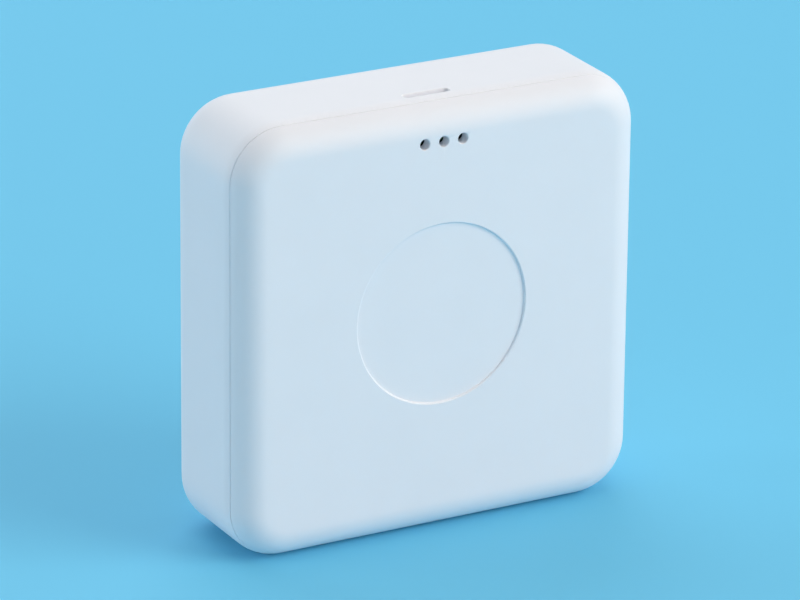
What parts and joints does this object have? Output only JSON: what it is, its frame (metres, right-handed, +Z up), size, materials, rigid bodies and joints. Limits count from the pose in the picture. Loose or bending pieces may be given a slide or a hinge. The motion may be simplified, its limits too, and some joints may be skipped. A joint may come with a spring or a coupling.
{
  "type": "thermometer hygrometer",
  "caption": "Small white square sensor with a display on the front, a snap-off back cover with air holes and a round pad recess, and cells and electronics inside.",
  "frame": {"origin": "middle of the lower edge that it stands on, at the centre of its width and depth", "axes": "+Z up as it stands, +Y out of the back cover, -Y out of the display, X along its width"},
  "size_m": [0.06, 0.0196, 0.06],
  "materials": {
    "housing": "satin moulded white",
    "frame": "satin moulded off-white",
    "button": "satin moulded pale grey",
    "window": "clear hard-coated acrylic",
    "film": "matte optical film",
    "lcd_glass": "thin display glass",
    "tape": "thin white adhesive tape",
    "foam": "fine closed-cell foam",
    "zebra": "layered silicone",
    "board": "solder mask over fibreglass",
    "chip": "moulded epoxy",
    "ceramic_part": "fired ceramic",
    "plated_steel": "nickel plated",
    "contact_pins": "gold flash",
    "cell": "plain printed foil sleeve"
  },
  "bodies": {
    "root": {"front_shell": "housing", "display_window": "window", "window_tape": "tape", "lcd_gasket": "foam", "lcd_front_polarizer": "film", "lcd_front_glass": "lcd_glass", "lcd_rear_glass": "lcd_glass", "lcd_reflector": "film", "lcd_holder": "frame", "zebra_strip": "zebra", "main_board": "board", "radio_board": "board", "radio_shield": "plated_steel", "controller_chip": "chip", "crystal": "plated_steel", "chip_capacitors": "ceramic_part", "chip_resistors": "chip", "sensor_board": "board", "sensor_chip": "chip", "sensor_gasket": "foam", "sensor_pins": "contact_pins", "sensor_header_block": "chip", "switch_base": "chip", "switch_cover": "plated_steel", "switch_dome": "plated_steel", "battery_frame": "frame", "battery_upper": "cell", "battery_lower": "cell", "battery_link_plate": "plated_steel", "battery_link_spring": "plated_steel", "battery_negative_plate": "plated_steel", "battery_negative_spring": "plated_steel", "battery_positive_plate": "plated_steel", "frame_screws": "plated_steel"},
    "back_cover_body": {"back_cover": "housing", "cover_foam_pad": "foam"},
    "pair_button_body": {"pair_button": "button", "switch_plunger": "chip"}
  },
  "joints": [
    {"name": "cover_lift", "type": "slide", "parent": "root", "child": "back_cover_body", "axis": [0, 1, 0], "range_m": [0, 0.028]},
    {"name": "button_press", "type": "slide", "parent": "root", "child": "pair_button_body", "axis": [0, -1, 0], "range_m": [0, 0.0003], "stiffness_N_per_m": 500}
  ]
}
